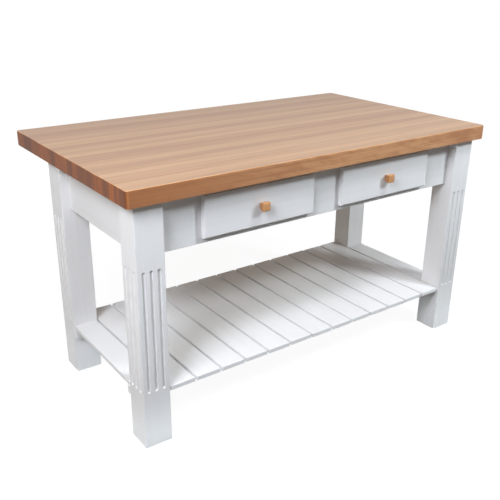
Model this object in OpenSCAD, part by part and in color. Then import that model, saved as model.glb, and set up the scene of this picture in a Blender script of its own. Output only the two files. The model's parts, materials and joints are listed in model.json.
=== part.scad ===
// Butcher block work table: solid block top, fluted square legs, apron with two
// overlay drawers and a slatted shelf. Millimetres. The origin is on the floor under
// the middle of the top, +X runs to the right along the table and the front faces -Y.

/* [Top] */
// Length of the block top
top_l = 1575; // [1400:5:1800]
// Depth of the block top
top_d = 912; // [860:2:980]
// Thickness of the block top
top_t = 55; // [40:1:60]
// Radius of the top's upright corners
top_corner_r = 12; // [6:1:20]
// Radius of the top's eased edges
top_edge_r = 3; // [1:0.5:5]
// Height of the table
table_h = 895; // [880:5:940]
// Overhang of the top past the legs at each end
end_overhang = 31; // [20:1:60]
// Overhang of the top past the front legs
front_overhang = 26; // [20:1:60]
// Overhang of the top past the back legs
back_overhang = 222; // [200:1:240]

/* [Legs] */
// Side of the square legs
leg_w = 97; // [92:1:105]
// Radius of the legs' eased edges
leg_edge_r = 3; // [1:0.5:4]
// Radius of the cutter that makes the flutes
flute_r = 6.5; // [5:0.5:8]
// Depth of a flute
flute_depth = 5; // [2:0.5:5]
// Distance between the flutes
flute_pitch = 27; // [22:1:29]
// Height at which the flutes start
flute_low = 206; // [190:1:260]
// Distance from the underside of the top to the flutes
flute_drop = 212; // [190:1:300]

/* [Apron] */
// Height of the aprons
apron_h = 180; // [170:1:190]
// Thickness of the aprons
apron_t = 25; // [22:1:28]
// Setback of the aprons from the legs' outer faces
apron_set = 34; // [30:1:38]

/* [Drawers] */
// Width of a drawer face
face_w = 445; // [420:1:470]
// Height of a drawer face
face_h = 144; // [140:1:146]
// Thickness of a drawer face
face_t = 20; // [18:1:22]
// Height of a drawer face above the apron's lower edge
face_lift = 20; // [18:1:22]
// Distance from the table's middle to a drawer's middle
drawer_x = 288; // [275:1:300]
// Length of a drawer box from front to back
box_l = 510; // [420:5:530]
// Thickness of the drawer sides
side_t = 12; // [10:1:15]
// Size of the square knob's outer end
knob_w = 31; // [24:1:36]
// How far the knob stands out
knob_l = 27; // [22:1:32]

/* [Shelf] */
// Height of the shelf's upper face
shelf_z = 200; // [190:1:204]
// Thickness of the slats
slat_t = 15; // [14:1:18]
// Number of slats that run from the front edge to the back edge
slat_count = 13; // [11:1:15]
// Gap between the slats
slat_gap = 8; // [3:1:8]
// Setback of the slats from the legs' outer faces
slat_set = 5; // [3:1:8]

/* [Hidden] */
$fn = 64;

fit = 0.1;                                   // glued joints: gap on each side
white = "#e9ebec";
maple = "#c9a27c";
plywood = "#d9bf98";
steel = "#9a9da1";

top_z = table_h - top_t;                     // underside of the block top
x_leg = top_l / 2 - end_overhang;            // legs' outer faces, left and right
y_front = -top_d / 2 + front_overhang;       // legs' front faces
y_back = top_d / 2 - back_overhang;          // legs' back faces
y_mid = (y_front + y_back) / 2;
inner_l = 2 * (x_leg - leg_w);               // clear length between the legs
inner_d = y_back - y_front - 2 * leg_w;      // clear depth between the legs
apron_z = top_z - apron_h;                   // lower edge of the aprons
apron_in = apron_set + apron_t;              // aprons' inner faces, from the legs' outer faces
well_l = y_back - y_front - 2 * apron_in;    // clear depth between the aprons

tenon_l = 30;
tenon_t = 10;
tenon_shoulder = 18;                         // tenon stops short of the apron's edges

block_reach = 80;                            // corner block's outer face along each apron
block_t = 25;                                // corner block's thickness
block_h = 120;
bolt_r = 4;
bolt_len = 92;
bolt_z = top_z - apron_h / 2;
nut_w = 13;
washer_r = 9;
block_face = (2 * apron_in + block_reach - 2 * leg_w) / sqrt(2) + block_t;

bracket_w = 20;                              // each leg of the angle bracket
bracket_t = 2;
bracket_long = 30;
bracket_spots = [-600, 0, 600];
screw_l = 20;

cut_w = face_w - 30;                         // opening in the apron for a drawer box
cut_low = apron_z + face_lift + 16;
cut_high = apron_z + face_lift + face_h - 12;
box_play = 2;
box_w = cut_w - 2 * box_play;
box_low = cut_low + 1;
box_high = cut_high - 5;
face_gap = 1;
face_ease = 5;                               // radius of a drawer face's outer edges
y_face = y_front + apron_set - face_gap;     // back of a drawer face
y_box_end = y_face + box_l;
box_front_t = 15;
box_back_t = 12;
bottom_t = 6;
bottom_lift = 8;                             // drawer bottom above the lower edge of the sides
groove = 5;
knob_drop = 1;                               // knob below the middle of the face
knob_z = apron_z + face_lift + face_h / 2 - knob_drop;
knob_neck = 20;                              // knob's width where it meets the face
screw_r = 2;
face_screw_x = 150;                          // screws from the box into the face, either side of the knob
face_screw_bite = 12;
guide_t = 15;
guide_lip = 14;

rail_h = 45;
rail_t = 22;
rail_x = 37;                                 // shelf rail from the leg's outer face
rail_tenon = 25;
bearer_t = 25;
stub = 8;                                    // bearer's stub tenon in the rail
slat_low = shelf_z - slat_t;
rail_low = slat_low - rail_h;
slat_pitch = inner_l / slat_count;
bearer_y = [y_front + 142, y_mid, y_back - 142];
cleat = [30, 22, 30];
cleat_x = 3;

// ---------- shared shapes ----------

// Rectangle with its lower left corner at the origin and round corners
module round_rect(w, h, r) {
    translate([r, 0]) square([w - 2 * r, h]);
    translate([0, r]) square([w, h - 2 * r]);
    for (x = [r, w - r]) for (y = [r, h - r]) translate([x, y]) circle(r);
}

// Box from one corner to the opposite corner
module box(low, high) {
    translate(low) cube(high - low);
}

// Upright board whose long edges are eased, lying along X
module eased_board_x(l, w, t, r) {
    rotate([90, 0, 90]) linear_extrude(l) round_rect(w, t, r);
}

// Places its children at a leg's outer corner, turned so +X and +Y run inwards
module at_leg(side, end) {
    translate([side * x_leg, end < 0 ? y_front : y_back, 0])
        mirror([side > 0 ? 1 : 0, 0, 0]) mirror([0, end > 0 ? 1 : 0, 0]) children();
}

// ---------- top ----------

module block_top() {
    color(maple) difference() {
        translate([-top_l / 2, -top_d / 2, top_z]) intersection() {
            linear_extrude(top_t) round_rect(top_l, top_d, top_corner_r);
            eased_board_x(top_l, top_d, top_t, top_edge_r);
            translate([0, top_d, 0]) rotate([0, 0, -90])
                eased_board_x(top_d, top_l, top_t, top_edge_r);
        }
        at_brackets() translate([0, bracket_w / 2 + bracket_t, top_z - 1])
            cylinder(h = screw_l - bracket_t + 1 + fit, r = screw_r + fit);
    }
}

// ---------- legs ----------

module flute() {
    low = flute_low + flute_r;
    high = top_z - flute_drop - flute_r;
    translate([0, flute_depth - flute_r, low]) {
        cylinder(h = high - low, r = flute_r);
        sphere(flute_r);
        translate([0, 0, high - low]) sphere(flute_r);
    }
}

module flutes() {
    for (i = [-1:1]) translate([leg_w / 2 + i * flute_pitch, 0, 0]) flute();
}

// Tenon that runs from the leg's inner face along X, for a board at depth y
module tenon_space(y, t, low, high, l, gap) {
    box([leg_w - l - gap, y + (t - tenon_t) / 2 - gap, low - gap],
        [leg_w + 1, y + (t + tenon_t) / 2 + gap, high + gap]);
}

module apron_tenon(gap) {
    tenon_space(apron_set, apron_t, apron_z + tenon_shoulder, top_z - tenon_shoulder, tenon_l, gap);
}

module rail_tenon_space(gap) {
    tenon_space(rail_x, rail_t, rail_low + 5, slat_low - 5, rail_tenon, gap);
}

// Swaps the leg's two inner directions
module swap_xy() {
    mirror([1, -1, 0]) children();
}

// Bolt along the diagonal, from inside the leg out through the corner block
module diagonal_bolt(r, from, to) {
    translate([leg_w, leg_w, bolt_z]) rotate([0, 0, 45]) rotate([0, 90, 0])
        translate([0, 0, from]) cylinder(h = to - from, r = r);
}

module leg(side, end) {
    color(white) at_leg(side, end) difference() {
        linear_extrude(top_z) round_rect(leg_w, leg_w, leg_edge_r);
        flutes();
        swap_xy() flutes();
        apron_tenon(fit);
        swap_xy() apron_tenon(fit);
        swap_xy() rail_tenon_space(fit);
        diagonal_bolt(bolt_r + fit, -40.5, 5);
    }
}

// ---------- aprons ----------

// Places its children at each bracket: on the inner face of an apron, +Y away from it
module at_brackets() {
    for (x = bracket_spots) {
        translate([x, y_front + apron_in, 0]) children();
        translate([x, y_back - apron_in, 0]) mirror([0, 1, 0]) children();
    }
    for (side = [-1, 1]) translate([side * (x_leg - apron_in), y_mid, 0])
        rotate([0, 0, side * 90]) children();
}

module bracket_holes() {
    at_brackets() translate([0, 1, top_z - bracket_w / 2 - bracket_t]) rotate([90, 0, 0])
        cylinder(h = screw_l - bracket_t + 1 + fit, r = screw_r + fit);
}

module long_apron(y, face_dir) {
    difference() {
        union() {
            box([-inner_l / 2, y, apron_z], [inner_l / 2, y + apron_t, top_z]);
            for (side = [-1, 1]) at_leg(side, face_dir) intersection() {
                apron_tenon(0);
                box([0, 0, 0], [leg_w, leg_w, top_z]);
            }
        }
        bracket_holes();
    }
}

module front_apron() {
    color(white) difference() {
        long_apron(y_front + apron_set, -1);
        for (side = [-1, 1]) box([side * drawer_x - cut_w / 2, y_front + apron_set - 1, cut_low],
            [side * drawer_x + cut_w / 2, y_front + apron_in + 1, cut_high]);
    }
}

module back_apron() {
    color(white) long_apron(y_back - apron_in, 1);
}

module end_apron(side) {
    color(white) difference() {
        at_leg(side, -1) {
            box([apron_set, leg_w, apron_z], [apron_in, leg_w + inner_d, top_z]);
            swap_xy() intersection() {
                apron_tenon(0);
                box([0, 0, 0], [leg_w, leg_w, top_z]);
            }
            translate([0, 2 * leg_w + inner_d, 0]) mirror([0, 1, 0]) swap_xy() intersection() {
                apron_tenon(0);
                box([0, 0, 0], [leg_w, leg_w, top_z]);
            }
        }
        bracket_holes();
    }
}

module corner_block(side, end) {
    near = apron_in + block_reach;
    far = near + block_t * sqrt(2);
    color(plywood) at_leg(side, end) difference() {
        translate([0, 0, bolt_z - block_h / 2]) linear_extrude(block_h)
            polygon([[near, apron_in], [far, apron_in], [apron_in, far], [apron_in, near]]);
        diagonal_bolt(bolt_r + 0.5, 0, 60);
    }
}

module corner_bolts() {
    color(steel) for (side = [-1, 1]) for (end = [-1, 1])
        at_leg(side, end) diagonal_bolt(bolt_r, -40, bolt_len - 40);
}

module corner_nuts() {
    color(steel) for (side = [-1, 1]) for (end = [-1, 1]) at_leg(side, end) difference() {
        translate([leg_w, leg_w, bolt_z]) rotate([0, 0, 45]) rotate([0, 90, 0]) {
            translate([0, 0, block_face]) cylinder(h = 1.5, r = washer_r);
            translate([0, 0, block_face + 1.5]) cylinder(h = 6.5, d = nut_w / cos(30), $fn = 6);
        }
        diagonal_bolt(bolt_r + 0.05, 0, 80);
    }
}

module top_brackets() {
    color(steel) at_brackets() difference() {
        union() {
            box([-bracket_long / 2, 0, top_z - bracket_w - bracket_t], [bracket_long / 2, bracket_t, top_z]);
            box([-bracket_long / 2, 0, top_z - bracket_t], [bracket_long / 2, bracket_w + bracket_t, top_z]);
        }
        translate([0, bracket_w / 2 + bracket_t, top_z - bracket_t - 1])
            cylinder(h = bracket_t + 2, r = screw_r + fit);
        translate([0, bracket_t + 1, top_z - bracket_w / 2 - bracket_t]) rotate([90, 0, 0])
            cylinder(h = bracket_t + 2, r = screw_r + fit);
    }
}

// Pan head screw along +Z, its head below the origin
module pan_screw(l) {
    cylinder(h = l, r = screw_r);
    translate([0, 0, -2]) cylinder(h = 2, r = 2 * screw_r);
}

module bracket_screws() {
    color(steel) at_brackets() {
        translate([0, bracket_w / 2 + bracket_t, top_z - bracket_t]) pan_screw(screw_l);
        translate([0, bracket_t, top_z - bracket_w / 2 - bracket_t]) rotate([90, 0, 0])
            pan_screw(screw_l);
    }
}

// ---------- drawer guides ----------

// Channel that holds one drawer side: a web with a lip below and a lip above the side
module drawer_guide(drawer, side) {
    web = box_w / 2 + 1;
    lip = web - guide_lip;
    color(plywood) translate([drawer * drawer_x, y_front + apron_in, 0])
        mirror([side < 0 ? 1 : 0, 0, 0]) {
            box([web, 0, cut_low - 16], [web + guide_t, well_l, box_high + 16]);
            box([lip, 0, cut_low - 16], [web, well_l, cut_low]);
            box([lip, 0, box_high + 1.5], [web, well_l, box_high + 16]);
        }
}

// ---------- drawers ----------

module at_drawer(drawer) {
    translate([drawer * drawer_x, 0, 0]) children();
}

// Hole or screw that runs from the drawer box through the face, along -Y
module along_y(x, y, z, h, r) {
    translate([x, y, z]) rotate([90, 0, 0]) cylinder(h = h, r = r);
}

module screw_holes(gap) {
    along_y(0, y_face + box_front_t + 1, knob_z, box_front_t + face_t + 2, screw_r + gap);
    for (x = [-face_screw_x, face_screw_x])
        along_y(x, y_face + box_front_t + 1, knob_z, box_front_t + face_screw_bite + 1 + gap, screw_r + gap);
}

// Flat face whose outer edges are eased all round
module drawer_face(drawer) {
    y_out = y_face - face_t;
    z_low = apron_z + face_lift;
    color(white) at_drawer(drawer) difference() {
        union() {
            box([-face_w / 2, y_out + face_ease, z_low], [face_w / 2, y_face, z_low + face_h]);
            intersection() {
                translate([-face_w / 2, y_out, z_low]) eased_board_x(face_w, face_t, face_h, face_ease);
                translate([-face_w / 2, y_out, z_low]) linear_extrude(face_h)
                    round_rect(face_w, face_t, face_ease);
                box([-face_w, y_out - 1, z_low - 1], [face_w, y_out + face_ease, z_low + face_h + 1]);
            }
        }
        screw_holes(fit);
    }
}

module bottom_panel(gap) {
    box([-box_w / 2 + side_t - groove - gap, y_face + box_front_t - groove - gap, box_low + bottom_lift - gap],
        [box_w / 2 - side_t + groove + gap, y_box_end - box_back_t + groove + gap,
         box_low + bottom_lift + bottom_t + gap]);
}

module drawer_box_front(drawer) {
    color(plywood) at_drawer(drawer) difference() {
        box([-box_w / 2 + side_t, y_face, box_low], [box_w / 2 - side_t, y_face + box_front_t, box_high]);
        bottom_panel(fit);
        screw_holes(fit);
    }
}

module drawer_side(drawer, side) {
    color(plywood) at_drawer(drawer) difference() {
        mirror([side < 0 ? 1 : 0, 0, 0])
            box([box_w / 2 - side_t, y_face, box_low], [box_w / 2, y_box_end, box_high]);
        bottom_panel(fit);
    }
}

module drawer_box_back(drawer) {
    color(plywood) at_drawer(drawer) difference() {
        box([-box_w / 2 + side_t, y_box_end - box_back_t, box_low], [box_w / 2 - side_t, y_box_end, box_high]);
        bottom_panel(fit);
    }
}

module drawer_bottom(drawer) {
    color(plywood) at_drawer(drawer) bottom_panel(0);
}

// Square knob that widens from its neck to its outer end
module drawer_knob(drawer) {
    y_out = y_face - face_t;
    outline = [[-knob_neck / 2, 0], [knob_neck / 2, 0], [knob_w / 2, knob_l - 4],
        [knob_w / 2 - 2, knob_l], [-knob_w / 2 + 2, knob_l], [-knob_w / 2, knob_l - 4]];
    color(maple) at_drawer(drawer) difference() {
        translate([0, y_out, knob_z]) rotate([0, 0, 180]) intersection() {
            translate([0, 0, -knob_w]) linear_extrude(2 * knob_w) polygon(outline);
            rotate([0, -90, 0]) translate([0, 0, -knob_w]) linear_extrude(2 * knob_w) polygon(outline);
        }
        along_y(0, y_out + 1, knob_z, 17 + fit, screw_r + fit);
    }
}

module drawer_screws(drawer) {
    color(steel) at_drawer(drawer) {
        for (s = [[0, face_t + 15], [-face_screw_x, face_screw_bite], [face_screw_x, face_screw_bite]])
            translate([s[0], y_face + box_front_t, knob_z]) rotate([90, 0, 0])
                pan_screw(box_front_t + s[1]);
    }
}

// ---------- shelf ----------

module shelf_rail(side) {
    color(white) at_leg(side, -1) difference() {
        union() {
            box([rail_x, leg_w, rail_low], [rail_x + rail_t, leg_w + inner_d, slat_low]);
            swap_xy() intersection() {
                rail_tenon_space(0);
                box([0, 0, 0], [leg_w, leg_w, top_z]);
            }
            translate([0, 2 * leg_w + inner_d, 0]) mirror([0, 1, 0]) swap_xy() intersection() {
                rail_tenon_space(0);
                box([0, 0, 0], [leg_w, leg_w, top_z]);
            }
        }
        for (y = bearer_y) box([rail_x + rail_t - stub - fit, y - y_front - 5 - fit, rail_low + 5 - fit],
            [rail_x + rail_t + 1, y - y_front + 5 + fit, slat_low - 5 + fit]);
    }
}

function slat_x(i) = -inner_l / 2 + (i - 0.5) * slat_pitch;

// Screws rise through the outer bearers into the slats
module slat_screw_holes(gap) {
    for (y = [bearer_y[0], bearer_y[2]]) for (i = [1:slat_count])
        translate([slat_x(i), y, rail_low + 10]) cylinder(h = rail_h, r = screw_r + gap);
}

module shelf_bearer(row) {
    reach = x_leg - rail_x - rail_t;
    y = bearer_y[row];
    color(white) difference() {
        union() {
            box([-reach, y - bearer_t / 2, rail_low], [reach, y + bearer_t / 2, slat_low]);
            box([-reach - stub, y - 5, rail_low + 5], [reach + stub, y + 5, slat_low - 5]);
        }
        slat_screw_holes(fit);
        for (i = [1:slat_count]) if (row != 1)
            translate([slat_x(i), y, rail_low - 1]) cylinder(h = 11, r = 5);
    }
}

module slat_screws() {
    color(steel) for (y = [bearer_y[0], bearer_y[2]]) for (i = [1:slat_count])
        translate([slat_x(i), y, rail_low + 10]) pan_screw(rail_h - fit);
}

module shelf_slat(i) {
    w = slat_pitch - slat_gap;
    l = y_back - y_front - 2 * slat_set;
    color(white) difference() {
        translate([slat_x(i) + w / 2, y_front + slat_set, slat_low]) rotate([0, 0, 90])
            eased_board_x(l, w, slat_t, 1.5);
        slat_screw_holes(fit);
    }
}

module end_slat(side) {
    color(white) at_leg(side, -1)
        translate([leg_w - slat_gap / 2, leg_w + 1, slat_low]) rotate([0, 0, 90])
            eased_board_x(inner_d - 2, leg_w - slat_gap / 2 - slat_set, slat_t, 1.5);
}

module shelf_cleats() {
    color(white) for (side = [-1, 1]) for (end = [-1, 1]) at_leg(side, end)
        box([cleat_x, leg_w, slat_low - cleat[2]],
            [cleat_x + cleat[0], leg_w + cleat[1], slat_low]);
}

// ---------- assembly ----------

block_top();
leg(-1, -1);  // front_left_leg
leg(1, -1);  // front_right_leg
leg(-1, 1);  // back_left_leg
leg(1, 1);  // back_right_leg
front_apron();
back_apron();
end_apron(-1);  // left_apron
end_apron(1);  // right_apron
corner_block(-1, -1);  // front_left_corner_block
corner_block(1, -1);  // front_right_corner_block
corner_block(-1, 1);  // back_left_corner_block
corner_block(1, 1);  // back_right_corner_block
corner_bolts();
corner_nuts();
top_brackets();
bracket_screws();
drawer_guide(-1, -1);  // left_drawer_guide_a
drawer_guide(-1, 1);  // left_drawer_guide_b
drawer_guide(1, -1);  // right_drawer_guide_a
drawer_guide(1, 1);  // right_drawer_guide_b
drawer_face(-1);  // left_drawer_face
drawer_box_front(-1);  // left_drawer_box_front
drawer_side(-1, -1);  // left_drawer_side_a
drawer_side(-1, 1);  // left_drawer_side_b
drawer_box_back(-1);  // left_drawer_box_back
drawer_bottom(-1);  // left_drawer_bottom
drawer_knob(-1);  // left_drawer_knob
drawer_screws(-1);  // left_drawer_screws
drawer_face(1);  // right_drawer_face
drawer_box_front(1);  // right_drawer_box_front
drawer_side(1, -1);  // right_drawer_side_a
drawer_side(1, 1);  // right_drawer_side_b
drawer_box_back(1);  // right_drawer_box_back
drawer_bottom(1);  // right_drawer_bottom
drawer_knob(1);  // right_drawer_knob
drawer_screws(1);  // right_drawer_screws
shelf_rail(-1);  // left_shelf_rail
shelf_rail(1);  // right_shelf_rail
shelf_bearer(0);  // front_shelf_bearer
shelf_bearer(1);  // middle_shelf_bearer
shelf_bearer(2);  // back_shelf_bearer
shelf_cleats();
slat_screws();
end_slat(-1);  // left_end_slat
end_slat(1);  // right_end_slat
for (i = [1:slat_count]) shelf_slat(i);
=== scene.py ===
"""Butcher block table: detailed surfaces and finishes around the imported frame.

Sizes are in metres, Z is up, and the front of the table faces -Y.
"""

import json
import math

import bpy
import numpy as np
from bpy.props import FloatProperty, FloatVectorProperty, PointerProperty
from mathutils import Matrix, Vector

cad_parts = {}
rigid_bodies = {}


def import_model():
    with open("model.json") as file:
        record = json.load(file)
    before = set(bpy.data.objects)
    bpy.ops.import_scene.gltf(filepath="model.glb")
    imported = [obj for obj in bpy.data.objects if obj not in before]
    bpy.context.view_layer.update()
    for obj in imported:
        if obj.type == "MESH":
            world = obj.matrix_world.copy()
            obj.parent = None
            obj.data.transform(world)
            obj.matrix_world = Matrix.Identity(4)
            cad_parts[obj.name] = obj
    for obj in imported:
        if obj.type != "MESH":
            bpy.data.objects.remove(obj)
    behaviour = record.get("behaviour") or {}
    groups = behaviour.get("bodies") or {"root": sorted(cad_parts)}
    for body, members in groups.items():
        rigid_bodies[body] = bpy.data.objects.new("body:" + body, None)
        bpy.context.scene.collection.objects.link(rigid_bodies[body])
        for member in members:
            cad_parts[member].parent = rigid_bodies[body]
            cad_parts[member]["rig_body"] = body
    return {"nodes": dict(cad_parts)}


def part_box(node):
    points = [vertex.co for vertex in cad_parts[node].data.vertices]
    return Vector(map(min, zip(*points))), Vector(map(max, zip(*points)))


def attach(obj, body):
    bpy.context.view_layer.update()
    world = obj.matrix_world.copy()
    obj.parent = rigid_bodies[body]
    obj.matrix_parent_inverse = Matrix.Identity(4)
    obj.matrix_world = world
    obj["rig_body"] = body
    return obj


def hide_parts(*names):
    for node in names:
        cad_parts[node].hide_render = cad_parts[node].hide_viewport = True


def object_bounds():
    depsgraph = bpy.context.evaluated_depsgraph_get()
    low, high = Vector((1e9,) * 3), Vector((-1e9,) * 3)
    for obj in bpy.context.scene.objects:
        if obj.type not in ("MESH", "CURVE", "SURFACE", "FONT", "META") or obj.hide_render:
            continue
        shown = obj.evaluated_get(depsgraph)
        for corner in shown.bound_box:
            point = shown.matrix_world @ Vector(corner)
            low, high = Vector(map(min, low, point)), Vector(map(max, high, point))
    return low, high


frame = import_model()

bl_info = {
    "name": "Butcher Block Table",
    "version": (1, 0, 0),
    "blender": (4, 5, 0),
    "location": "View3D > Sidebar > Table",
    "description": "Wood, paint and metal surfaces for a work table with fluted legs",
    "category": "Object",
}

CAD_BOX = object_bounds()
X, Y, Z = range(3)
SIDES = ("left", "right")
ENDS = ("front", "back")
LEGS = [f"{end}_{side}_leg" for end in ENDS for side in SIDES]
SLATS = sorted((node for node in frame["nodes"] if node.startswith("shelf_slat_")),
               key=lambda node: int(node.split("_")[-1]))
BASE_MIDDLE = Vector((0, -0.1, 0))


def length(name, description, default, low, high):
    """A size in metres that a user may change."""
    return FloatProperty(name=name, description=description, default=default, min=low, max=high,
                         precision=4, unit="LENGTH")


def colour(name, description, default):
    """A colour that a user may change, in linear light."""
    return FloatVectorProperty(name=name, description=description, default=default, size=3,
                               min=0.0, max=1.0, subtype="COLOR")


def angle(name, description, degrees):
    """An angle that a user may change."""
    return FloatProperty(name=name, description=description, default=math.radians(degrees), unit="ROTATION")


# ---------- settings ----------


class TopSettings(bpy.types.PropertyGroup):
    """Sizes and colours of the block top."""

    corner_radius: length("Corner radius", "Radius of the upright corners", 0.012, 0.004, 0.03)
    edge_radius: length("Edge radius", "Radius of the eased edges", 0.003, 0.001, 0.006)
    stave_width: length("Stave width", "Width of one glued stave", 0.038, 0.02, 0.08)
    pale: colour("Pale stave", "Colour of the palest staves", (0.510, 0.308, 0.168))
    tan: colour("Tan stave", "Colour of most staves", (0.445, 0.262, 0.145))
    rosy: colour("Rosy stave", "Colour of the pinkish staves", (0.355, 0.192, 0.108))
    honey: colour("Front stave", "Colour of the front stave, seen on the front edge", (0.760, 0.410, 0.190))
    amber: colour("Amber patch", "Colour of the front stave's figure and dark end", (0.400, 0.150, 0.045))
    dark: colour("Late wood", "Colour of the ring lines and mineral streaks", (0.230, 0.095, 0.050))
    end_pale: colour("Pale end grain", "Colour of the palest sawn ends", (0.320, 0.086, 0.011))
    end_dark: colour("Dark end grain", "Colour of the darkest sawn ends", (0.092, 0.024, 0.006))


class PaintSettings(bpy.types.PropertyGroup):
    """The white paint of the base."""

    edge_radius: length("Edge radius", "Radius of the eased edges of painted boards", 0.0015, 0.0005, 0.004)
    paint: colour("Paint", "Colour of the top coat", (0.83, 0.825, 0.825))
    thin: colour("Thin paint", "Colour where the coat is thin", (0.765, 0.750, 0.732))
    worn: colour("Worn edge", "Colour of rubbed edges", (0.66, 0.62, 0.56))


class LegSettings(bpy.types.PropertyGroup):
    """Sizes of the legs."""

    edge_radius: length("Edge radius", "Radius of the upright edges", 0.003, 0.001, 0.006)
    foot_ease: length("Foot ease", "Radius round the foot", 0.002, 0.0005, 0.004)
    flute_radius: length("Flute radius", "Radius of the cutter", 0.0065, 0.003, 0.009)
    flute_depth: length("Flute depth", "Depth of a flute", 0.005, 0.001, 0.006)
    flute_pitch: length("Flute pitch", "Distance between the flutes", 0.027, 0.018, 0.032)
    flute_low: length("Flute start", "Height at which the flutes start", 0.206, 0.1, 0.4)
    flute_drop: length("Flute drop", "Distance from the top of the leg to the flutes", 0.212, 0.1, 0.4)


class DrawerSettings(bpy.types.PropertyGroup):
    """Sizes and colours of the drawers and their knobs."""

    face_ease: length("Face ease", "Radius of the face's outer edges", 0.005, 0.001, 0.008)
    face_corner: length("Face corner", "Radius of the face's corners", 0.0008, 0.0003, 0.004)
    play: length("Play", "Gap between a drawer box and its opening, at the sides", 0.002, 0.001, 0.005)
    gap_low: length("Gap below", "Gap between a drawer box and its opening, below", 0.001, 0.0005, 0.005)
    gap_high: length("Gap above", "Gap between a drawer box and its opening, above", 0.005, 0.001, 0.01)
    neck: length("Knob neck", "Width of a knob where it meets the face", 0.020, 0.015, 0.026)
    knob_corner: length("Knob corner", "Radius of a knob's long corners", 0.003, 0.001, 0.006)
    knob_ease: length("Knob ease", "Radius round a knob's outer end", 0.0042, 0.001, 0.008)
    knob_wood: colour("Knob", "Colour of the knobs", (0.60, 0.30, 0.125))
    knob_dark: colour("Knob grain", "Colour of the knobs' ring lines", (0.30, 0.11, 0.035))
    birch: colour("Birch", "Colour of the bare drawer boxes and guides", (0.62, 0.45, 0.27))
    birch_dark: colour("Birch grain", "Colour of the birch's ring lines", (0.42, 0.27, 0.14))


class MetalSettings(bpy.types.PropertyGroup):
    """Colours of the bolts, nuts, brackets and screws."""

    zinc: colour("Zinc", "Colour of the plated steel", (0.60, 0.61, 0.63))
    dull: colour("Dull zinc", "Colour of the plating where it has dulled", (0.42, 0.42, 0.42))


class StageSettings(bpy.types.PropertyGroup):
    """The camera and the studio."""

    azimuth: angle("Azimuth", "Camera's angle round the table from the front", -36.04)
    elevation: angle("Elevation", "Camera's angle above the horizon", 22.40)
    roll: angle("Roll", "Camera's turn about its own axis", 0.65)
    distance: length("Distance", "From the camera to the point that it looks at", 2.799, 1.0, 10.0)
    aim: FloatVectorProperty(name="Aim", description="Point that the camera looks at, from the middle",
                             default=(-0.0345, -0.0025, -0.0546), size=3, subtype="TRANSLATION",
                             unit="LENGTH")
    lens: FloatProperty(name="Lens", description="Focal length in millimetres", default=49.03, min=20,
                        max=120)
    floor: colour("Floor", "Colour of the floor", (0.86, 0.86, 0.86))
    floor_radius: length("Floor radius", "Where the floor has faded into the backdrop", 4.0, 2.0, 20.0)
    lamp_distance: length("Lamp distance", "From the middle of the table to the soft lights", 3.2, 2.0, 6.0)
    lamp_size: length("Lamp size", "Width of a full-size soft light", 1.3, 0.2, 3.0)
    fill: colour("Fill", "Faint light from all round", (0.034, 0.022, 0.014))
    floor_glow: FloatProperty(name="Floor glow", description="Light that the floor throws up", default=0.16,
                              min=0, max=1)


# ---------- shader maths ----------


class Value:
    """A shader socket: Python's operators on it add Math nodes."""

    def __init__(self, finish, socket):
        self.finish = finish
        self.socket = socket

    def math(self, operation, *others):
        inputs = dict(enumerate((self, *others)))
        return self.finish.add("ShaderNodeMath", {"operation": operation}, inputs)

    def __add__(self, other):
        return self.math("ADD", other)

    __radd__ = __add__

    def __sub__(self, other):
        return self.math("SUBTRACT", other)

    def __rsub__(self, other):
        return self.finish.add("ShaderNodeMath", {"operation": "SUBTRACT"}, {0: other, 1: self})

    def __mul__(self, other):
        return self.math("MULTIPLY", other)

    __rmul__ = __mul__

    def __truediv__(self, other):
        return self.math("DIVIDE", other)

    def __pow__(self, other):
        return self.math("POWER", other)

    def __abs__(self):
        return self.math("ABSOLUTE")

    def floor(self):
        return self.math("FLOOR")

    def part(self):
        """What is left above the whole number."""
        return self.math("FRACT")

    def most(self, other):
        return self.math("MAXIMUM", other)

    def step(self, low, high):
        """0 at low, 1 at high and a smooth S between them."""
        inputs = {"Value": self, "From Min": low, "From Max": high}
        return self.finish.add("ShaderNodeMapRange", {"interpolation_type": "SMOOTHSTEP"}, inputs)


def rgba(colour_value, scale=1.0):
    """A colour with full alpha, darkened or lightened by scale."""
    return (*(channel * scale for channel in colour_value), 1.0)


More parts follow.
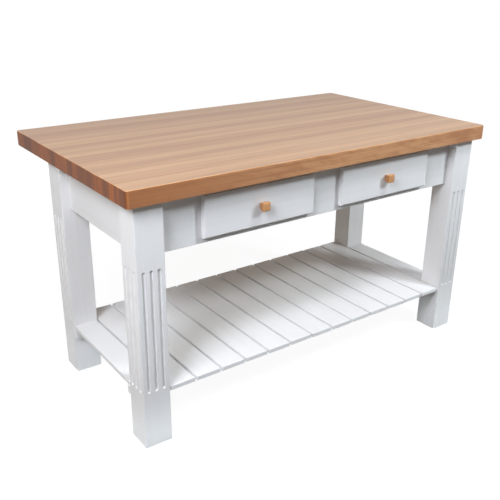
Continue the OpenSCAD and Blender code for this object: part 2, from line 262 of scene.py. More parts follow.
class Finish:
    """A material, or the backdrop, whose look is worked out by nodes."""

    def __init__(self, owner):
        self.owner = owner
        owner.use_nodes = True
        self.tree = owner.node_tree
        self.tree.nodes.clear()

    def add(self, kind, settings, inputs, *outputs):
        """Adds a node, sets it up, fills its inputs and returns the named outputs, or its first one."""
        node = self.tree.nodes.new(kind)
        for key, value in settings.items():
            if key == "stops":
                self.fill_ramp(node.color_ramp.elements, value)
            else:
                setattr(node, key, value)
        for key, value in inputs.items():
            if isinstance(value, Value):
                self.tree.links.new(value.socket, node.inputs[key])
            else:
                node.inputs[key].default_value = value
        found = [Value(self, node.outputs[key]) for key in outputs or range(len(node.outputs[:1]))]
        return found if len(found) > 1 else found[0] if found else node

    @staticmethod
    def fill_ramp(elements, stops):
        while len(elements) < len(stops):
            elements.new(1.0)
        for element, (place, stop_colour) in zip(elements, stops):
            element.position = place
            element.color = stop_colour

    def ramp(self, value, *stops):
        return self.add("ShaderNodeValToRGB", {"stops": stops}, {"Fac": value}, "Color")

    def mix(self, factor, first, second):
        """A colour between first and second."""
        return self.add("ShaderNodeMix", {"data_type": "RGBA"}, {0: factor, 6: first, 7: second}, 2)

    def vector(self, x, y, z):
        return self.add("ShaderNodeCombineXYZ", {}, {0: x, 1: y, 2: z})

    def axes(self):
        """The piece's own coordinates, in metres."""
        place = self.add("ShaderNodeTexCoord", {}, {}, "Object")
        return self.add("ShaderNodeSeparateXYZ", {}, {0: place}, X, Y, Z)

    def normals(self):
        """The three parts of the surface's direction, without their signs."""
        direction = self.add("ShaderNodeTexCoord", {}, {}, "Normal")
        return [abs(part) for part in self.add("ShaderNodeSeparateXYZ", {}, {0: direction}, X, Y, Z)]

    def lean(self):
        """0 on a flat face and up to 0.4 on an eased edge, where the surface leans away from the axes."""
        x, y, z = self.normals()
        return 1 - x.most(y).most(z)

    def board_axes(self, axis):
        """Coordinates along a board and across it, shifted by the board's own number, so that no two
        boards match."""
        number = self.add("ShaderNodeAttribute", {"attribute_name": "board"}, {}, "Fac")
        places = self.axes()
        along, across, through = (places[(axis + turn) % 3] for turn in range(3))
        return along + number * 31.0, across + number * 17.0, through + number * 7.0

    def noise(self, x, y, z, detail=3.0, roughness=0.5):
        """Clouds from 0 to 1, about one to each unit of x, y and z."""
        inputs = {"Vector": self.vector(x, y, z), "Scale": 1.0, "Detail": detail, "Roughness": roughness}
        return self.add("ShaderNodeTexNoise", {}, inputs, "Fac")

    def chance(self, x, y=0.0):
        """Three steady random numbers for a pair of whole numbers."""
        found = self.add("ShaderNodeTexWhiteNoise", {"noise_dimensions": "2D"},
                         {"Vector": self.vector(x + 0.5, y + 0.5, 0.0)}, "Color")
        return self.add("ShaderNodeSeparateColor", {}, {0: found}, 0, 1, 2)

    def bump(self, height, depth, strength=1.0):
        """Surface direction for a height from 0 to 1 that stands for depth metres."""
        return self.add("ShaderNodeBump", {}, {"Strength": strength, "Distance": depth, "Height": height})

    def surface(self, inputs):
        """Closes the material with one principled shader that has these inputs."""
        shader = self.add("ShaderNodeBsdfPrincipled", {}, inputs, "BSDF")
        self.add("ShaderNodeOutputMaterial", {}, {"Surface": shader})
        return self.owner


# ---------- materials ----------


def grey(lightness):
    """A grey with full alpha."""
    return rgba((lightness,) * 3)


def block_maple():
    """Oiled edge-grain staves that run the whole length. A stave is the whole part of y over its width.
    Each one has its own tone and its own ring centre, so that the same rings show as lines on the top and
    as arcs on the sawn ends. The tones differ from front to back, and the front stave is a warmer one with
    cloudy figure. Eased edges are painted paler in patches, partly as rubbing and partly as a painted
    highlight along the arrises."""
    look = bpy.context.scene.table_top
    f = Finish(bpy.data.materials.new("oiled_maple_block"))
    x, y, z = f.axes()
    low, high = CAD_BOX
    stave = (y / look.stave_width).floor()
    tone, centre_y, centre_z = f.chance(stave)
    across = ((y / look.stave_width).part() - 0.5) * look.stave_width
    drift = tone * 40.0
    sway = (f.noise(x * 0.8, y * 3.0, 0.0, 1.0) - 0.5) * 0.02
    share = (y - across * 0.75 - low.y) / (high.y - low.y) + sway

    rosy, tan, pale = rgba(look.rosy), rgba(look.tan), rgba(look.pale)
    boards = f.ramp(share, (0.02, tan), (0.09, rgba(look.pale, 1.08)), (0.15, tan), (0.19, pale),
                    (0.235, tan), (0.258, rosy), (0.285, tan), (0.323, pale),
                    (0.408, rgba(look.rosy, 1.05)), (0.479, pale), (0.56, tan),
                    (0.616, rgba(look.rosy, 1.06)), (0.682, pale), (0.868, rgba(look.rosy, 1.08)),
                    (0.93, tan))
    warp = f.noise(x * 1.3 + drift, y * 14.0, z * 14.0, 2.0)
    ring_y = across + (centre_y - 0.5) * 0.10
    ring_z = z - (high.z - 0.10 - centre_z * 0.10)
    radius = (ring_y * ring_y + ring_z * ring_z) ** 0.5 + (warp - 0.5) * 0.012
    ring = (radius / 0.0042 + tone * 5.0).part()
    late = ring.step(0.55, 0.95) * ring.step(1.0, 0.95)
    streak = f.noise(x * 1.1 + drift, y * 90.0, z * 90.0, 3.0, 0.6)
    thread = f.noise(x * 1.6 + drift, y * 230.0, z * 230.0, 3.0, 0.6)
    fleck = f.noise(x * 22.0 + drift, y * 700.0, z * 500.0, 2.0)
    cloud = f.noise(x * 6.0 + drift, y * 9.0, z * 22.0, 3.0)
    mark = f.noise(x * 9.0 + drift, y * 60.0, z * 60.0, 2.0).step(0.70, 0.80)

    dark = rgba(look.dark)
    figure = f.noise(x * 11.0 + z * 26.0, y * 9.0, z * 24.0 - x * 3.0, 4.0, 0.6)
    # The front edge is mixed towards amber along x: fully at the left end, little in the middle, and again
    # in a patch near the right end and at that end.
    along = (x - low.x) / (high.x - low.x)
    reach = f.ramp(along, (0.0, grey(1.0)), (0.18, grey(0.72)), (0.42, grey(0.22)), (0.82, grey(0.12)),
                   (0.93, grey(0.75)), (0.965, grey(0.25)), (1.0, grey(0.55)))
    front = f.mix(figure.step(0.42, 0.66) * 0.52, rgba(look.honey), rgba(look.amber))
    front = f.mix(reach, front, rgba(look.amber))
    wood = f.mix(tone.step(0.35, 1.0) * 0.42, boards, rosy)
    wood = f.mix(tone.step(0.45, 0.0) * 0.40, wood, pale)
    on_x, on_y, on_z = f.normals()
    wood = f.mix(on_y.step(0.3, 0.8), wood, front)
    wood = f.mix(streak.step(0.46, 0.68) * 0.28, wood, dark)
    wood = f.mix(thread.step(0.48, 0.66) * 0.30, wood, dark)
    wood = f.mix(late * 0.12, wood, dark)
    wood = f.mix(cloud.step(0.52, 0.80) * 0.10, wood, dark)
    wood = f.mix(fleck.step(0.60, 0.80) * 0.12, wood, dark)
    wood = f.mix(mark * 0.22, wood, dark)

    sawn = on_x.step(0.45, 0.9)
    rays = f.noise(x * 40.0, y * 150.0 + drift, z * 6.0, 3.0, 0.6)
    shade = f.ramp(share, (0.03, grey(0.5)), (0.1, grey(0.1)), (0.15, grey(0.5)), (0.2, grey(0.15)),
                   (0.25, grey(0.95)), (0.3, grey(0.3)), (0.41, grey(0.6)), (0.5, grey(0.3)),
                   (0.6, grey(0.75)), (0.68, grey(0.4)), (0.87, grey(0.85)), (0.95, grey(0.6)))
    ends = f.mix(shade * 0.55 + centre_z.step(0.3, 0.9) * 0.45, rgba(look.end_pale), rgba(look.end_dark))
    ends = f.mix(rays.step(0.42, 0.60) * 0.60 + late * 0.25, ends, rgba(look.end_dark, 0.8))
    wood = f.mix(sawn, wood, ends)

    glue = abs(across).step(look.stave_width / 2 - 0.0009, look.stave_width / 2 - 0.0002)
    wood = f.mix(glue * 0.30, wood, rgba(look.dark, 0.8))
    # Painted highlight and wear on the eased edges: in patches the arris is mixed pale along the front and
    # back and orange along the ends. This stands both for rubbing and for the glossy highlight on the
    # round-over.
    patches = f.noise(x * 5.0, y * 5.0, 0.0, 2.0).step(0.35, 0.6)
    rubbed = f.lean().step(0.05, 0.25) * on_z.step(0.1, 0.5) * patches
    arris_wear_and_highlight = f.mix(on_y.step(0.1, 0.4), rgba(look.honey, 1.25), rgba(look.pale, 1.65))
    wood = f.mix(rubbed * 0.65, wood, arris_wear_and_highlight)

    height = 0.55 - glue * 0.4 - late * 0.12 - fleck.step(0.55, 0.8) * 0.35
    return f.surface({"Base Color": wood, "Roughness": 0.34 + streak * 0.10 + sawn * 0.16 + glue * 0.1,
                      "Normal": f.bump(height, 0.0004, 0.35)})


def painted_wood(axis):
    """White paint brushed along a board: bristle marks and open grain run with the board, the coat clouds
    slowly from thick to thin over the grain lines, and rubbed edges show through in patches."""
    look = bpy.context.scene.table_paint
    f = Finish(bpy.data.materials.new("white_paint_" + "xyz"[axis]))
    along, across, through = f.board_axes(axis)
    coat = f.noise(along * 4.0, across * 12.0, through * 12.0, 3.0)
    bristle = f.noise(along * 9.0, across * 330.0, through * 330.0, 3.0, 0.6)
    grain = f.noise(along * 2.2, across * 85.0, through * 85.0, 4.0, 0.65)
    speck = f.noise(along * 260.0, across * 260.0, through * 260.0, 2.0, 0.6)
    worn = f.lean().step(0.10, 0.30) * f.noise(along * 30.0, across * 60.0, through * 60.0).step(0.42, 0.66)
    thin = coat.step(0.42, 0.72) * 0.25 + grain.step(0.46, 0.70) * 0.35
    finish = f.mix(thin, rgba(look.paint), rgba(look.thin))
    finish = f.mix(speck.step(0.50, 0.72) * 0.40, finish, rgba(look.thin))
    finish = f.mix(worn * 0.6, finish, rgba(look.worn))
    height = bristle * 0.40 + grain * 0.40 + speck * 0.20
    return f.surface({"Base Color": finish, "Roughness": 0.40 + bristle * 0.08 + thin * 0.06 + worn * 0.15,
                      "Normal": f.bump(height, 0.0008, 0.35)})


def bare_wood(name, axis, light, dark, ring_width, roughness):
    """Bare planed wood. Rings are steps of the distance from a centre line along the board, bent by slow
    clouds, with short pores along the grain, darker sawn ends and paler rubbed edges."""
    f = Finish(bpy.data.materials.new(name))
    along, across, through = f.board_axes(axis)
    warp = f.noise(along * 2.5, across * 12.0, through * 12.0, 3.0)
    deep = through + 0.12
    radius = (across * across + deep * deep) ** 0.5 + (warp - 0.5) * ring_width * 3.0
    ring = (radius / ring_width).part()
    late = ring.step(0.50, 0.90) * ring.step(1.0, 0.92)
    streak = f.noise(along * 2.0, across * 110.0, through * 110.0, 4.0, 0.6)
    pore = f.noise(along * 40.0, across * 900.0, through * 900.0, 2.0)
    wood = f.mix(late * 0.40, rgba(light), rgba(dark))
    wood = f.mix(streak.step(0.48, 0.80) * 0.45, wood, rgba(dark, 0.9))
    wood = f.mix(pore.step(0.60, 0.78) * 0.30, wood, rgba(dark, 0.8))
    sawn = f.normals()[axis].step(0.5, 0.9)
    wood = f.mix(sawn * 0.45, wood, rgba(dark, 0.85))
    rubbed = f.lean().step(0.08, 0.3)
    wood = f.mix(rubbed * 0.3, wood, rgba(light, 1.1))
    height = 0.6 - late * 0.15 - pore.step(0.55, 0.8) * 0.45
    return f.surface({"Base Color": wood, "Roughness": roughness + streak * 0.12 + sawn * 0.1,
                      "Normal": f.bump(height, 0.0004, 0.35)})


def birch(axis):
    look = bpy.context.scene.table_drawers
    return bare_wood("bare_birch_" + "xyz"[axis], axis, look.birch, look.birch_dark, 0.0035, 0.52)


def knob_maple():
    look = bpy.context.scene.table_drawers
    # The grain runs along x, so the knob's left and right faces take the darker sawn-end colour. On the
    # left face this is also painted shade, as that face is turned away from the key light.
    return bare_wood("knob_maple_x", X, look.knob_wood, look.knob_dark, 0.0028, 0.38)


def zinc_steel():
    """Zinc plated steel: dull clouds and fine rolling marks."""
    look = bpy.context.scene.table_metal
    f = Finish(bpy.data.materials.new("zinc_steel"))
    x, y, z = f.axes()
    cloud = f.noise(x * 90.0, y * 90.0, z * 90.0, 3.0)
    mark = f.noise(x * 600.0, y * 600.0, z * 1800.0, 2.0)
    metal = f.mix(cloud.step(0.40, 0.70), rgba(look.zinc), rgba(look.dull))
    return f.surface({"Base Color": metal, "Metallic": 1.0, "Roughness": 0.30 + cloud * 0.16 + mark * 0.06,
                      "Normal": f.bump(mark, 0.0001, 0.3)})


def finish_of(name, build, *details):
    """The material of that name, built when it is first wanted."""
    return bpy.data.materials.get(name) or build(*details)


def paint(axis):
    return finish_of("white_paint_" + "xyz"[axis], painted_wood, axis)


def bare(axis):
    return finish_of("bare_birch_" + "xyz"[axis], birch, axis)


def steel():
    return finish_of("zinc_steel", zinc_steel)


# ---------- surfaces ----------


def outline(corner_steps, sides=((), (), (), ())):
    """Round-cornered outline, as shares and directions: a point is share x inner half size + direction x
    radius. At a corner the share stays and the direction turns through a quarter circle. On a side the
    direction stays and the share moves through the given values, which run from -1 to 1."""
    turn = np.linspace(0, math.pi / 2, corner_steps)
    shares, directions = [], []
    for quarter, side in enumerate(sides):
        around = quarter * math.pi / 2 + turn
        ahead = (quarter + 1) * math.pi / 2
        facing = np.round([math.cos(ahead), math.sin(ahead)])
        travel = np.round([-math.sin(ahead), math.cos(ahead)])
        side = np.asarray(side, float).reshape(-1, 1)
        directions += [np.column_stack([np.cos(around), np.sin(around)]), np.tile(facing, (len(side), 1))]
        shares += [np.tile(facing - travel, (corner_steps, 1)), facing + travel * side]
    return np.concatenate(shares), np.concatenate(directions)


def eased_stations(size, low_ease, high_ease, between, steps=4):
    """Places along an axis and how far the outline draws in at each: at either end both follow a quarter
    circle, distance = ease x (1 - cosine) and inset = ease x (1 - sine)."""
    turn = np.linspace(0, math.pi / 2, steps)
    out = turn[::-1]
    places = [low_ease * (1 - np.cos(turn)), between, size - high_ease * (1 - np.cos(out))]
    insets = [low_ease * (1 - np.sin(turn)), np.zeros(len(between)), high_ease * (1 - np.sin(out))]
    return np.concatenate(places), np.concatenate(insets)


def carried(shape, low, high, axis, corner, places, insets):
    """Carries an outline along an axis: a ring is share x (half - inset - radius) + direction x radius,
    where the radius is the corner's less the inset, and never under 0.15 of it. The rings run from low to
    high."""
    shares, directions = shape
    low, high = np.array(low), np.array(high)
    plane = [(axis + 1) % 3, (axis + 2) % 3]
    half = (high - low)[plane] / 2
    radius = np.maximum(corner - insets, 0.15 * corner)[:, None]
    inner = half - insets[:, None] - radius
    rings = np.empty((len(places), len(shares), 3))
    rings[..., axis] = low[axis] + places[:, None]
    rings[..., plane] = shares * inner[:, None] + directions * radius[:, None] + (low + high)[plane] / 2
    return rings


def closed(rings):
    """Skin over rings: point j of ring i joins its neighbours in both directions, and flat faces fill the
    first and last rings."""
    count, around = rings.shape[:2]
    ring = np.arange(count - 1)[:, None] * around
    here = ring + np.arange(around)
    beside = ring + (np.arange(around) + 1) % around
    quads = np.stack([here, beside, beside + around, here + around], axis=-1).reshape(-1, 4)
    ends = [np.arange(around)[::-1], np.arange(around) + (count - 1) * around]
    return rings.reshape(-1, 3), quads.tolist() + [end.tolist() for end in ends]


def uneven(points, seed, amount):
    """Points moved by three slow waves: each adds amount x sine(wave . point + phase) along its own
    direction, as boards planed and sanded by hand are never quite true. None leaves the table's box."""
    rng = np.random.default_rng(seed)
    waves = rng.uniform(-1, 1, (3, 3)) * 2 * math.pi / 0.45
    ways = rng.uniform(-1, 1, (3, 3))
    phases = rng.uniform(0, 2 * math.pi, 3)
    moved = points + amount * np.sin(points @ waves.T + phases) @ ways
    return np.clip(moved, *np.array(CAD_BOX))


def board(low, high, axis, corner, low_ease, high_ease, seed=0, amount=0.0002, pieces=9, strips=3):
    """Board with rounded edges: a round-cornered outline carried along axis, drawn in at both ends."""
    low, high = Vector(low), Vector(high)
    size = high[axis] - low[axis]
    side = np.linspace(-1, 1, strips + 2)[1:-1]
    between = np.linspace(low_ease, size - high_ease, pieces + 1)[1:-1]
    places, insets = eased_stations(size, low_ease, high_ease, between)
    points, faces = closed(carried(outline(4, (side,) * 4), low, high, axis, corner, places, insets))
    return uneven(points, seed, amount), faces


def fluted_leg(low, high, outer, sizes, seed):
    """Square leg carried upwards. On its two outer faces three flutes are sunk: the depth at distance u
    from a flute's middle and v past its straight part is the root of (radius^2 - u^2 - v^2), less the
    cutter's standing height above the face, and never below zero."""
    low, high = np.array(low), np.array(high)
    middle = (low + high) / 2
    inner = (high - low)[0] / 2 - sizes.edge_radius
    stand = sizes.flute_radius - sizes.flute_depth
    chord = math.sqrt(sizes.flute_radius ** 2 - stand ** 2)
    bend = np.sin(np.linspace(-math.pi / 2, math.pi / 2, 13))
    centres = np.arange(-1, 2) * sizes.flute_pitch
    side = (centres[:, None] + chord * bend).ravel() / inner
    sides = [side if way in outer else () for way in ((0, 1), (-1, 0), (0, -1), (1, 0))]
    start = sizes.flute_low + sizes.flute_radius
    stop = high[Z] - sizes.flute_drop - sizes.flute_radius
    rise = chord * np.sin(np.linspace(0, math.pi / 2, 7))
    between = np.concatenate([np.linspace(0.02, start - 0.02, 5), start - rise[::-1],
                              np.linspace(start, stop, 9)[1:-1], stop + rise,
                              np.linspace(stop + 0.02, high[Z] - 0.02, 6)])
    places, insets = eased_stations(high[Z], sizes.foot_ease, 0.0005, between)
    shape = outline(5, sides)
    rings = carried(shape, low, high, Z, sizes.edge_radius, places, insets)
    past = np.maximum(np.maximum(start - rings[..., Z], rings[..., Z] - stop), 0)
    for way in outer:
        facing, beside = (X, Y) if way[0] else (Y, X)
        distance = rings[..., beside, None] - middle[beside] - centres
        squared = sizes.flute_radius ** 2 - distance ** 2 - past[..., None] ** 2
        sunk = np.sqrt(np.maximum(squared, 0)) - stand
        flat = (shape[1] @ np.array(way)) > 0.999
        rings[..., facing] -= np.maximum(sunk, 0).max(axis=-1) * flat * way[facing]
    points, faces = closed(rings)
    return uneven(points, seed, 0.00015), faces


def pierced_board(xs, zs, y_low, y_high, filled):
    """Upright board with square openings: the filled cells of the grid xs by zs get a front and a back
    face, and each border between a filled cell and an empty one gets a wall through the thickness."""
    columns, rows = len(xs), len(zs)
    grid = np.arange(columns * rows).reshape(columns, rows)
    x, z = np.meshgrid(xs, zs, indexing="ij")
    front = np.stack([x, np.full_like(x, y_low), z], axis=-1).reshape(-1, 3)
    back = np.stack([x, np.full_like(x, y_high), z], axis=-1).reshape(-1, 3)
    behind = columns * rows
    a, b, c, d = grid[:-1, :-1], grid[1:, :-1], grid[1:, 1:], grid[:-1, 1:]
    cells = np.stack([a, b, c, d], axis=-1)[filled]
    padded = np.pad(filled, 1)
    inside = padded[1:-1, 1:-1]
    walls = []
    for start, end, beside in ((a, b, padded[1:-1, :-2]), (b, c, padded[2:, 1:-1]),
                               (c, d, padded[1:-1, 2:]), (d, a, padded[:-2, 1:-1])):
        open_side = inside & ~beside
        walls.append(np.stack([end, start, start + behind, end + behind], axis=-1)[open_side])
    faces = np.concatenate([cells, cells[:, ::-1] + behind, *walls])
    return np.concatenate([front, back]), faces.tolist()


def square_knob(low, high, sizes):
    """Square knob that widens outwards in a straight taper from the neck. Near the outer end its outline
    draws in along a quarter circle, and the rings run from the outer end back to the neck. The end is
    flat but for a fall of less than a millimetre towards its edge."""
    low, high = np.array(low), np.array(high)
    size = high[Y] - low[Y]
    half = (high[X] - low[X]) / 2
    turn = np.linspace(0, math.pi / 2, 7)
    ease = sizes.knob_ease
    places = np.concatenate([ease * (1 - np.cos(turn)), np.linspace(ease, size, 8)[1:]]) + 0.0006
    draw = np.concatenate([ease * (1 - np.sin(turn)), (half - sizes.neck / 2) * np.linspace(0, 1, 8)[1:]])
    places = np.minimum(np.concatenate([[0.0, 0.00015, 0.0004], places]), size)
    draw = np.concatenate([half * (1 - np.array([0.3, 0.55, 0.75])), draw])
    side = np.linspace(-1, 1, 5)[1:-1]
    return closed(carried(outline(5, (side,) * 4), low, high, Y, sizes.knob_corner, places, draw))


# ---------- pieces ----------


def seed_of(node):
    """The node's place in the sorted list of nodes, as its own whole number."""
    return sorted(frame["nodes"]).index(node)


def add_piece(name, skin, material, node, bevel=0.0):
    """Makes a skin into an object that stands for a CAD node and rides on its body."""
    points, faces = skin
    mesh = bpy.data.meshes.new(name)
    mesh.from_pydata(np.asarray(points).tolist(), [], faces)
    mesh.polygons.foreach_set("use_smooth", np.ones(len(mesh.polygons), bool))
    number = mesh.attributes.new("board", "FLOAT", "POINT")
    share = seed_of(node) / len(frame["nodes"])
    number.data.foreach_set("value", np.full(len(points), share, np.float32))
    mesh.materials.append(material)
    mesh.validate()
    piece = bpy.data.objects.new(name, mesh)
    bpy.context.scene.collection.objects.link(piece)
    if bevel:
        edges = piece.modifiers.new("Eased edges", "BEVEL")
        edges.width = bevel
        edges.segments = 3
        edges.limit_method = "ANGLE"
    shading = piece.modifiers.new("Flat faces stay flat", "WEIGHTED_NORMAL")
    shading.keep_sharp = True
    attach(piece, frame["nodes"][node]["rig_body"])
    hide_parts(node)
    return piece


def repaint(node, material):
    """Gives a CAD node that keeps its own shape a finish."""
    piece = frame["nodes"][node]
    for held in piece.material_slots:
        held.material = material


def longest(low, high):
    return int(np.argmax(np.array(high) - np.array(low)))


def add_board(name, node, material_of, ease, low=None, high=None, amount=0.0002):
    """Board in the place of a CAD node, or from low to high where those are given."""
    node_low, node_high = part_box(node)
    low = node_low if low is None else low
    high = node_high if high is None else high
    axis = longest(low, high)
    skin = board(low, high, axis, ease, ease * 0.8, ease * 0.8, seed_of(node), amount)
    return add_piece(name, skin, material_of(axis), node)


class TABLE_OT_block_top(bpy.types.Operator):
    """Edge-grain block top with round corners and eased edges"""

    bl_idname = "table.block_top"
    bl_label = "Block top"

    def execute(self, context):
        sizes = context.scene.table_top
        low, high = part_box("block_top")
        thick = high.z - low.z
        places, insets = eased_stations(thick, sizes.edge_radius, sizes.edge_radius, [thick / 2], 5)
        skin = closed(carried(outline(12), low, high, Z, sizes.corner_radius, places, insets))
        add_piece("maple_block_top", skin, finish_of("oiled_maple_block", block_maple), "block_top")
        return {"FINISHED"}


class TABLE_OT_legs(bpy.types.Operator):
    """Four square legs with three flutes on each outer face"""

    bl_idname = "table.legs"
    bl_label = "Legs"

    def execute(self, context):
        for node in LEGS:
            end, side, _ = node.split("_")
            low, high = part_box(node)
            outer = [(0, -1 if end == "front" else 1), (-1 if side == "left" else 1, 0)]
            skin = fluted_leg(low, high, outer, context.scene.table_legs, seed_of(node))
            add_piece(f"fluted_{node}", skin, paint(Z), node)
        return {"FINISHED"}


class TABLE_OT_aprons(bpy.types.Operator):
    """Four aprons; the front one has an opening for each drawer"""

    bl_idname = "table.aprons"
    bl_label = "Aprons"

    def execute(self, context):
        ease = context.scene.table_paint.edge_radius
        gaps = context.scene.table_drawers
        first_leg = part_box("front_left_leg")
        last_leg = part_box("back_right_leg")
        low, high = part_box("front_apron")
        xs = [first_leg[1].x]
        for side in SIDES:
            xs.append(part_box(f"{side}_drawer_side_a")[0].x - gaps.play)
            xs.append(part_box(f"{side}_drawer_side_b")[1].x + gaps.play)
        xs.append(last_leg[0].x)
        drawer_low, drawer_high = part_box("left_drawer_side_a")
        zs = [low.z, drawer_low.z - gaps.gap_low, drawer_high.z + gaps.gap_high, high.z]
        filled = np.ones((5, 3), bool)
        filled[1::2, 1] = False
        skin = pierced_board(xs, zs, low.y, high.y, filled)
        add_piece("painted_front_apron", skin, paint(X), "front_apron", ease)
        low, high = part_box("back_apron")
        low.x, high.x = first_leg[1].x, last_leg[0].x
        add_board("painted_back_apron", "back_apron", paint, ease, low, high)
        for side in SIDES:
            low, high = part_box(f"{side}_apron")
            low.y, high.y = first_leg[1].y, last_leg[0].y
            add_board(f"painted_{side}_apron", f"{side}_apron", paint, ease, low, high)
        return {"FINISHED"}


class TABLE_OT_drawer_faces(bpy.types.Operator):
    """Painted drawer faces with eased outer edges"""

    bl_idname = "table.drawer_faces"
    bl_label = "Drawer faces"

    def execute(self, context):
        sizes = context.scene.table_drawers
        for side in SIDES:
            node = f"{side}_drawer_face"
            low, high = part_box(node)
            skin = board(low, high, Y, sizes.face_corner, sizes.face_ease, 0.0005, seed_of(node), 0.0001,
                         pieces=3, strips=7)
            add_piece(f"painted_{node}", skin, paint(X), node)
        return {"FINISHED"}


class TABLE_OT_knobs(bpy.types.Operator):
    """Square maple knobs"""

    bl_idname = "table.knobs"
    bl_label = "Knobs"

    def execute(self, context):
        for side in SIDES:
            node = f"{side}_drawer_knob"
            skin = square_knob(*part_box(node), context.scene.table_drawers)
            add_piece(f"square_{node}", skin, finish_of("knob_maple_x", knob_maple), node)
        return {"FINISHED"}


class TABLE_OT_drawer_boxes(bpy.types.Operator):
    """Bare birch drawer boxes, their guides and the corner blocks"""

    bl_idname = "table.drawer_boxes"
    bl_label = "Drawer boxes and guides"

    def execute(self, context):
        for side in SIDES:
            for part in ("box_front", "side_a", "side_b", "box_back", "bottom"):
                node = f"{side}_drawer_{part}"
                add_board(f"birch_{node}", node, bare, 0.001)
            for part in "ab":
                repaint(f"{side}_drawer_guide_{part}", bare(Y))
            for end in ENDS:
                repaint(f"{end}_{side}_corner_block", bare(Z))
        return {"FINISHED"}


class TABLE_OT_shelf_slats(bpy.types.Operator):
    """Painted shelf slats and end slats"""

    bl_idname = "table.shelf_slats"
    bl_label = "Shelf slats"

    def execute(self, context):
        ease = context.scene.table_paint.edge_radius
        for node in SLATS + [f"{side}_end_slat" for side in SIDES]:
            add_board(f"painted_{node}", node, paint, ease, amount=0.0004)
        return {"FINISHED"}


class TABLE_OT_shelf_frame(bpy.types.Operator):
    """Rails, bearers and cleats that carry the shelf"""

    bl_idname = "table.shelf_frame"
    bl_label = "Shelf frame"

    def execute(self, context):
        ease = context.scene.table_paint.edge_radius
        for side in SIDES:
            node = f"{side}_shelf_rail"
            low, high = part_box(node)
            low.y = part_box("front_left_leg")[1].y
            high.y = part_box("back_left_leg")[0].y
            add_board(f"painted_{node}", node, paint, ease, low, high)
        for row in ("front", "middle", "back"):
            repaint(f"{row}_shelf_bearer", paint(X))
        repaint("shelf_cleats", paint(X))
        return {"FINISHED"}


class TABLE_OT_hardware(bpy.types.Operator):
    """Bolts, nuts, brackets and screws"""

    bl_idname = "table.hardware"
    bl_label = "Hardware"

    def execute(self, context):
        nodes = ["corner_bolts", "corner_nuts", "top_brackets", "bracket_screws", "slat_screws"]
        for node in nodes + [f"{side}_drawer_screws" for side in SIDES]:
            repaint(node, steel())
        return {"FINISHED"}


# ---------- stage ----------


def floor_finish(settings):
    """Pale matt floor with a faint shadow: most of its light is its own. It turns into the backdrop with
    distance from the table, and it is clear from below."""
    f = Finish(bpy.data.materials.new("studio_floor"))
    x, y, z = f.axes()
    cloud = f.noise(x * 2.0, y * 2.0, z, 3.0)
    away = (x * x + y * y) ** 0.5
    shade = f.mix(cloud, rgba(settings.floor, 0.18), rgba(settings.floor, 0.17))
    matt = f.add("ShaderNodeBsdfDiffuse", {}, {"Color": shade})
    glow = f.add("ShaderNodeEmission", {}, {"Color": rgba(settings.floor), "Strength": 1.08})
    lit = f.add("ShaderNodeAddShader", {}, {0: matt, 1: glow})
    clear = f.add("ShaderNodeBsdfTransparent", {}, {})
    below = f.add("ShaderNodeNewGeometry", {}, {}, "Backfacing")
    fade = away.step(settings.floor_radius * 0.3, settings.floor_radius * 0.98).most(below)
    both = f.add("ShaderNodeMixShader", {}, {0: fade, 1: lit, 2: clear})
    f.add("ShaderNodeOutputMaterial", {}, {"Surface": both})
    return f.owner


def floor_disc(radius):
    """Round floor: rings of points at growing distances, joined in squares, with one flat face inside the
    smallest ring."""
    turn = np.linspace(0, 2 * math.pi, 65)[:-1]
    away = radius * np.linspace(0.02, 1, 9)[:, None] ** 1.5
    rings = np.stack([away * np.cos(turn), away * np.sin(turn), np.zeros((9, 64))], axis=-1)
    points, faces = closed(rings)
    return points, [face[::-1] for face in faces[:-2]] + [list(range(64))]


def soft_light(name, turn, rise, power, tint, share=1.0, flat=1.0, spread=180, aim=0.5):
    """Soft light round the base's middle: its place is middle + distance x (sin turn cos rise, - cos turn
    cos rise, sin rise), with the angles in degrees. It faces the point at the share aim of the table's
    height. It is share x lamp size wide, flat is its height over its width, and spread is the angle that
    its light fills."""
    settings = bpy.context.scene.table_stage
    data = bpy.data.lights.new(name, "AREA")
    data.shape = "RECTANGLE"
    data.size = settings.lamp_size * share
    data.size_y = data.size * flat
    data.spread = math.radians(spread)
    data.energy = power
    data.color = tint
    turn, rise = math.radians(turn), math.radians(rise)
    way = Vector((math.sin(turn) * math.cos(rise), -math.cos(turn) * math.cos(rise), math.sin(rise)))
    height = Vector((0, 0, CAD_BOX[1].z))
    place = BASE_MIDDLE + height / 2 + way * settings.lamp_distance
    back = place - BASE_MIDDLE - height * aim
    lamp = bpy.data.objects.new(name, data)
    lamp.matrix_world = Matrix.Translation(place) @ back.to_track_quat("Z", "Y").to_matrix().to_4x4()
    lamp.visible_camera = False
    lamp.visible_glossy = False
    bpy.context.scene.collection.objects.link(lamp)


def backdrop(settings):
    """White surround: it shows white to the camera and in reflections. It lights the table only faintly,
    with warm light from above and brighter white light from the floor's side."""
    world = bpy.data.worlds.new("backdrop")
    f = Finish(world)
    place = f.add("ShaderNodeTexCoord", {}, {}, "Generated")
    rise = f.add("ShaderNodeSeparateXYZ", {}, {0: place}, Z)
    glow = f.ramp(rise.step(-0.7, -0.1), (0.0, rgba(settings.floor, settings.floor_glow)),
                  (1.0, rgba(settings.fill)))
    faint = f.add("ShaderNodeBackground", {}, {"Color": glow, "Strength": 1.0})
    white = f.add("ShaderNodeBackground", {}, {"Color": grey(1.0), "Strength": 1.0})
    seen = f.add("ShaderNodeLightPath", {}, {}, "Is Diffuse Ray")
    both = f.add("ShaderNodeMixShader", {}, {0: seen, 1: white, 2: faint})
    f.add("ShaderNodeOutputWorld", {}, {"Surface": both})
    return world


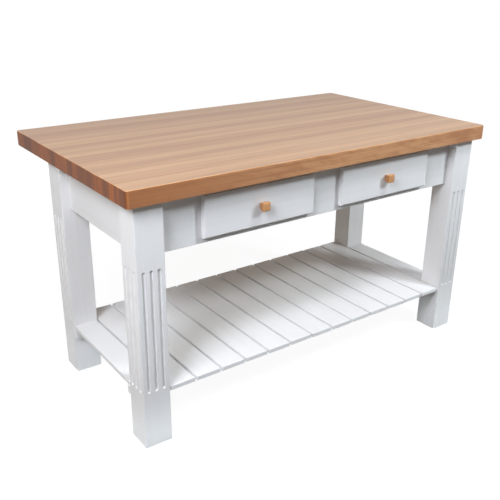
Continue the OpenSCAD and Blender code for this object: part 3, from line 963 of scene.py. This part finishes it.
def place_camera(settings):
    """Camera at a distance from its aim point: its back direction comes from azimuth and elevation, and its
    right and up directions are turned together by the roll."""
    side, rise, roll = settings.azimuth, settings.elevation, settings.roll
    back = Vector((math.sin(side) * math.cos(rise), -math.cos(side) * math.cos(rise), math.sin(rise)))
    right = Vector((0, 0, 1)).cross(back).normalized()
    up = back.cross(right)
    rolled_right = right * math.cos(roll) + up * math.sin(roll)
    rolled_up = up * math.cos(roll) - right * math.sin(roll)
    data = bpy.data.cameras.new("camera")
    data.lens = settings.lens
    camera = bpy.data.objects.new("camera", data)
    place = (CAD_BOX[0] + CAD_BOX[1]) / 2 + Vector(settings.aim) + back * settings.distance
    turned = Matrix((rolled_right, rolled_up, back)).transposed().to_4x4()
    camera.matrix_world = Matrix.Translation(place) @ turned
    bpy.context.scene.collection.objects.link(camera)
    bpy.context.scene.camera = camera


class TABLE_OT_stage(bpy.types.Operator):
    """Pale floor, soft lights, backdrop and camera"""

    bl_idname = "table.stage"
    bl_label = "Stage"

    def execute(self, context):
        settings = context.scene.table_stage
        place_camera(settings)
        points, faces = floor_disc(settings.floor_radius)
        mesh = bpy.data.meshes.new("studio_floor")
        mesh.from_pydata(points.tolist(), [], faces)
        mesh.materials.append(floor_finish(settings))
        floor = bpy.data.objects.new("studio_floor", mesh)
        context.scene.collection.objects.link(floor)
        floor.visible_diffuse = False
        soft_light("left_key", -61, 36, 77, (0.84, 0.89, 0.98), 0.8)
        soft_light("left_high", -60, 60, 14, (1.0, 1.0, 1.0))
        soft_light("left_low", -85, 10, 8, (1.0, 0.82, 0.55))
        soft_light("right_key", 37, 37, 49, (0.85, 0.94, 1.0), 0.3)
        soft_light("right_high", 30, 60, 29, (0.92, 0.95, 1.0), 0.45)
        soft_light("back_strip", 160, -6, 50, (1.0, 1.0, 1.0), 2.0, 0.06)
        soft_light("right_strip", 95, -6, 30, (1.0, 1.0, 1.0), 1.5, 0.08)
        soft_light("foot_strip", -36, -8, 1.0, (0.85, 0.95, 1.0), 2.0, 0.05, spread=8, aim=0)
        context.scene.world = backdrop(settings)
        context.scene.view_settings.view_transform = "Standard"
        return {"FINISHED"}


# ---------- panel and registration ----------


class TABLE_PT_pieces(bpy.types.Panel):
    """Lists the table's pieces and their settings"""

    bl_label = "Butcher Block Table"
    bl_idname = "TABLE_PT_pieces"
    bl_space_type = "VIEW_3D"
    bl_region_type = "UI"
    bl_category = "Table"

    def draw(self, context):
        for operator in OPERATORS:
            self.layout.operator(operator.bl_idname)
        for name, group in SETTINGS.items():
            box = self.layout.box()
            for setting in group.__annotations__:
                box.prop(getattr(context.scene, name), setting)


SETTINGS = {
    "table_top": TopSettings,
    "table_paint": PaintSettings,
    "table_legs": LegSettings,
    "table_drawers": DrawerSettings,
    "table_metal": MetalSettings,
    "table_stage": StageSettings,
}
OPERATORS = (
    TABLE_OT_stage,
    TABLE_OT_block_top,
    TABLE_OT_legs,
    TABLE_OT_aprons,
    TABLE_OT_drawer_faces,
    TABLE_OT_knobs,
    TABLE_OT_drawer_boxes,
    TABLE_OT_shelf_slats,
    TABLE_OT_shelf_frame,
    TABLE_OT_hardware,
)


def register():
    for kind in (*SETTINGS.values(), *OPERATORS, TABLE_PT_pieces):
        bpy.utils.register_class(kind)
    for name, group in SETTINGS.items():
        setattr(bpy.types.Scene, name, PointerProperty(type=group))


def unregister():
    for name in SETTINGS:
        delattr(bpy.types.Scene, name)
    for kind in (TABLE_PT_pieces, *reversed(OPERATORS), *reversed(SETTINGS.values())):
        bpy.utils.unregister_class(kind)


def main():
    """Makes every piece."""
    register()
    bpy.ops.table.stage()
    bpy.ops.table.block_top()
    bpy.ops.table.legs()
    bpy.ops.table.aprons()
    bpy.ops.table.drawer_faces()
    bpy.ops.table.knobs()
    bpy.ops.table.drawer_boxes()
    bpy.ops.table.shelf_slats()
    bpy.ops.table.shelf_frame()
    bpy.ops.table.hardware()


if __name__ == "__main__":
    main()
